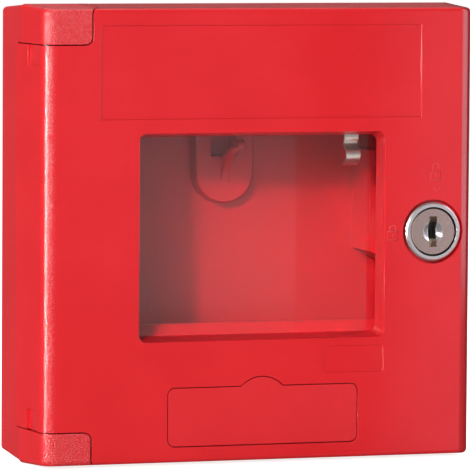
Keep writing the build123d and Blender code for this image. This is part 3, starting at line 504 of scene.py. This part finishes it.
def make_raised_line_tree():
    """Geometry nodes: sweeps a low rounded rib along the strokes of a drawing."""
    tree = bpy.data.node_groups.new("raised line", "GeometryNodeTree")
    face = tree.interface
    face.new_socket("Drawing", in_out="INPUT", socket_type="NodeSocketGeometry")
    for label in ("Rib width", "Rib rise"):
        face.new_socket(label, in_out="INPUT", socket_type="NodeSocketFloat")
    face.new_socket("Finish", in_out="INPUT", socket_type="NodeSocketMaterial")
    face.new_socket("Raised", in_out="OUTPUT", socket_type="NodeSocketGeometry")
    given = tree.nodes.new("NodeGroupInput")
    result = tree.nodes.new("NodeGroupOutput")
    strokes = tree.nodes.new("GeometryNodeMeshToCurve")
    tree.links.new(given.outputs["Drawing"], strokes.inputs["Mesh"])
    profile = add_node(tree, "GeometryNodeCurvePrimitiveCircle", Resolution=RIB_SIDES, Radius=1.0)
    squash = add_node(tree, "ShaderNodeCombineXYZ", Z=1.0)
    tree.links.new(given.outputs["Rib rise"], squash.inputs["X"])
    tree.links.new(maths(tree, "MULTIPLY", given.outputs["Rib width"], 0.5), squash.inputs["Y"])
    scaled = tree.nodes.new("GeometryNodeTransform")
    tree.links.new(profile.outputs["Curve"], scaled.inputs["Geometry"])
    tree.links.new(squash.outputs["Vector"], scaled.inputs["Scale"])
    level = add_node(tree, "GeometryNodeSetCurveNormal", mode="Z_UP")
    tree.links.new(strokes.outputs["Curve"], level.inputs["Curve"])
    sweep = add_node(tree, "GeometryNodeCurveToMesh", Fill_Caps=True)
    tree.links.new(level.outputs["Curve"], sweep.inputs["Curve"])
    tree.links.new(scaled.outputs["Geometry"], sweep.inputs["Profile Curve"])
    smooth = tree.nodes.new("GeometryNodeSetShadeSmooth")
    tree.links.new(sweep.outputs["Mesh"], smooth.inputs["Geometry"])
    coat = tree.nodes.new("GeometryNodeSetMaterial")
    tree.links.new(smooth.outputs["Geometry"], coat.inputs["Geometry"])
    tree.links.new(given.outputs["Finish"], coat.inputs["Material"])
    tree.links.new(coat.outputs["Geometry"], result.inputs["Raised"])
    return tree


RAISED_LINE = make_raised_line_tree()


def arc(centre_x, centre_z, radius, start, end, steps=10):
    """Points of an arc in the door's face, angles in degrees."""
    turns = [radians(start + (end - start) * step / steps) for step in range(steps + 1)]
    return [(centre_x + radius * cos(t), centre_z + radius * sin(t)) for t in turns]


def padlock(centre_x, base_z, width, height, shackle_rise, is_open):
    """Strokes of a plain padlock: a case, its shackle shut or lifted, and a keyhole mark."""
    shackle_share = 0.62  # of the case's half width
    lifted_share = 0.55  # of the shackle's rise, where its free leg ends
    keyhole_low, keyhole_high = 0.3, 0.7  # of the case's height
    half = width / 2
    top = base_z + height
    case = [(-half, base_z), (half, base_z), (half, top), (-half, top), (-half, base_z)]
    radius = half * shackle_share
    legs = [(-radius, top)] + arc(0, top + shackle_rise, radius, 180, 0)
    legs.append((radius, top + (shackle_rise * lifted_share if is_open else 0)))
    mark = [(0, base_z + height * keyhole_low), (0, base_z + height * keyhole_high)]
    return [[(centre_x + x, z) for x, z in stroke] for stroke in (case, legs, mark)]


def raise_drawing(name, strokes, body):
    """Turns strokes on the door's face into one raised mesh that rides on a body."""
    places = []
    lines = []
    for stroke in strokes:
        first = len(places)
        places += [point(x, FACE, z) for x, z in stroke]
        lines += [(first + step, first + step + 1) for step in range(len(stroke) - 1)]
    drawing = bpy.data.meshes.new(name + " drawing")
    drawing.from_pydata(places, lines, [])
    source = bpy.data.objects.new(name + "_drawing", drawing)
    scene.collection.objects.link(source)
    modifier = source.modifiers.new("raised line", "NODES")
    modifier.node_group = RAISED_LINE
    sockets = {item.name: item.identifier for item in RAISED_LINE.interface.items_tree}
    modifier[sockets["Rib width"]] = RIB_WIDTH * MM
    modifier[sockets["Rib rise"]] = RIB_RISE * MM
    modifier[sockets["Finish"]] = RED_MARK
    bpy.context.view_layer.update()
    shape = source.evaluated_get(bpy.context.evaluated_depsgraph_get())
    raised = bpy.data.meshes.new_from_object(shape)
    source.modifiers.clear()
    bpy.data.objects.remove(source)
    piece = bpy.data.objects.new(name, raised)
    scene.collection.objects.link(piece)
    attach(piece, body)


chevron = [(56.5, 13.7), (57.65, 12.4), (58.8, 13.7)]
open_padlock = padlock(centre_x=57.4, base_z=15.9, width=3.2, height=2.5, shackle_rise=1.7, is_open=True)
shut_padlock = padlock(centre_x=43.4, base_z=-2.4, width=3.4, height=2.6, shackle_rise=0.9, is_open=False)
raise_drawing("open_padlock_mark", open_padlock + [chevron], "door_body")
raise_drawing("shut_padlock_mark", shut_padlock, "door_body")


# ---------------------------------------------------------------- camera, floor and light
CAMERA_PLACE = (-557.1, -1582.4, 117.1)  # mm
CAMERA_YAW, CAMERA_PITCH, CAMERA_ROLL = 19.65, 4.10, 0.388  # degrees
CAMERA_LENS, CAMERA_SENSOR = 412.0, 36.0  # mm
CAMERA_REACH = 50.0  # m


def place_camera():
    """Camera at the product view: left of the box and a little above it, far off."""
    yaw, pitch, roll = radians(CAMERA_YAW), radians(CAMERA_PITCH), radians(CAMERA_ROLL)
    forward = Vector((sin(yaw) * cos(pitch), cos(yaw) * cos(pitch), -sin(pitch)))
    right = Vector((cos(yaw), -sin(yaw), 0))
    up = right.cross(forward)
    turned_right = cos(roll) * right + sin(roll) * up
    turned_up = -sin(roll) * right + cos(roll) * up
    camera = bpy.data.cameras.new("camera")
    camera.sensor_width = CAMERA_SENSOR
    camera.lens = CAMERA_LENS
    camera.clip_end = CAMERA_REACH
    holder = bpy.data.objects.new("camera", camera)
    scene.collection.objects.link(holder)
    turn = Matrix((turned_right, turned_up, -forward)).transposed()
    holder.matrix_world = Matrix.Translation(point(*CAMERA_PLACE)) @ turn.to_4x4()
    scene.camera = holder


LIGHTS_AIM = (0, -30, 0)  # mm


def soft_light(name, left, up, distance, width, height, power):
    """Soft light aimed at the box: direction in degrees, distance and size in metres, power in watts."""
    lamp = bpy.data.lights.new(name, "AREA")
    lamp.shape = "RECTANGLE"
    lamp.size = width
    lamp.size_y = height
    lamp.energy = power
    holder = bpy.data.objects.new(name, lamp)
    scene.collection.objects.link(holder)
    aim = point(*LIGHTS_AIM)
    holder.location = aim + direction(left, up) * distance
    holder.rotation_euler = (aim - holder.location).to_track_quat("-Z", "Y").to_euler()
    return holder


def flat_sheet(name, corners):
    """Stage piece with four corners and its own plain finish; gives the sheet, tree and shader."""
    mesh = bpy.data.meshes.new(name)
    mesh.from_pydata(corners, [], [(0, 1, 2, 3)])
    sheet = bpy.data.objects.new(name, mesh)
    scene.collection.objects.link(sheet)
    material, tree, shader = new_finish(name)
    mesh.materials.append(material)
    return sheet, tree, shader


def lay_floor():
    """Pale floor just under the box; polished faces mirror the surroundings instead of it."""
    size, gap = 6.0, 0.0002  # m
    pale = (0.93, 0.93, 0.93, 1.0)
    glow, glow_colour = 0.86, (1.0, 0.975, 0.965, 1.0)
    matt = 0.9
    level = cad_box[0][2] - gap
    corners = [(-size, -size, level), (size, -size, level), (size, size, level), (-size, size, level)]
    floor, tree, shader = flat_sheet("floor", corners)
    floor.visible_glossy = False
    shader.inputs["Base Color"].default_value = pale
    shader.inputs["Roughness"].default_value = matt
    shader.inputs["Emission Color"].default_value = glow_colour
    tree.links.new(maths(tree, "MULTIPLY", seen_directly(tree), glow), shader.inputs["Emission Strength"])


def seen_directly(tree):
    """1 where the camera sees a thing, also through a pane, and 0 for the light that bounces."""
    rays = tree.nodes.new("ShaderNodeLightPath")
    bounces = maths(tree, "ADD", rays.outputs["Diffuse Depth"], rays.outputs["Glossy Depth"])
    unscattered = maths(tree, "LESS_THAN", bounces, 0.5)
    through = maths(tree, "MULTIPLY", rays.outputs["Is Transmission Ray"], unscattered)
    return maths(tree, "MAXIMUM", rays.outputs["Is Camera Ray"], through)


def light_world():
    """Pale surroundings, brighter before the box than behind, and white where the camera sees them."""
    before, behind = 0.25, 0.10  # strength
    turns_from, turns_to = -0.35, 0.45  # y parts of a ray's direction between which one becomes the other
    sky, white = (0.94, 0.97, 1.0), (1.0, 1.0, 1.0)
    world = bpy.data.worlds.new("surroundings")
    world.use_nodes = True
    scene.world = world
    tree = world.node_tree
    backdrop = [n for n in tree.nodes if n.type == "BACKGROUND"][0]
    split = tree.nodes.new("ShaderNodeSeparateXYZ")
    tree.links.new(tree.nodes.new("ShaderNodeTexCoord").outputs["Generated"], split.inputs["Vector"])
    around = ramp_between(tree, split.outputs["Y"], turns_from, turns_to, before, behind)
    seen = seen_directly(tree)
    tree.links.new(mix_colour(tree, seen, sky, white), backdrop.inputs["Color"])
    tree.links.new(maths(tree, "MAXIMUM", seen, around), backdrop.inputs["Strength"])


CARD_COLOUR = (0.84, 0.88, 1.0, 1.0)
CARDS_Y = -445  # the row of cards before the box, in mm
PALE_LEFT, PALE_RIGHT = -80, 164.3  # x places where cards end
DARK_RIGHT = 200
BRIGHT_LEFT, BRIGHT_RIGHT = 202, 620
RIGHT_BACK = 60  # y where the right card ends, which runs back from the bright one


def hang_card(name, start, end, low, high, strength):
    """Upright card between two places on the ground plan, in mm, that only polished faces mirror."""
    corners = [point(*start, low), point(*end, low), point(*end, high), point(*start, high)]
    card, _, shader = flat_sheet(name, corners)
    for sight in ("visible_camera", "visible_diffuse", "visible_shadow", "visible_transmission"):
        setattr(card, sight, False)
    shader.inputs["Base Color"].default_value = (0.0, 0.0, 0.0, 1.0)
    shader.inputs["Specular IOR Level"].default_value = 0.0
    shader.inputs["Emission Color"].default_value = CARD_COLOUR
    shader.inputs["Emission Strength"].default_value = strength


place_camera()
lay_floor()
light_world()
hang_card("pale card", (PALE_LEFT, CARDS_Y), (PALE_RIGHT, CARDS_Y), low=-60, high=220, strength=0.39)
hang_card("dark card", (PALE_RIGHT, CARDS_Y), (DARK_RIGHT, CARDS_Y), low=-220, high=220, strength=0.06)
hang_card("bright card", (BRIGHT_LEFT, CARDS_Y), (BRIGHT_RIGHT, CARDS_Y), low=-320, high=260, strength=0.85)
hang_card("right card", (BRIGHT_RIGHT, CARDS_Y), (BRIGHT_RIGHT, RIGHT_BACK), low=-60, high=500, strength=2.8)
soft_light("key light", left=38.5, up=20.6, distance=3.0, width=0.23, height=0.23, power=63.0)
soft_light("top light", left=180, up=78, distance=1.4, width=0.6, height=0.6, power=11.0)
fill = soft_light("flank light", left=112, up=8, distance=1.6, width=0.7, height=0.7, power=8.0)
fill.visible_glossy = False
strip = soft_light("side strip", left=80, up=4, distance=1.3, width=0.06, height=0.8, power=32.0)
strip.visible_diffuse = False
scene.view_settings.view_transform = "Standard"
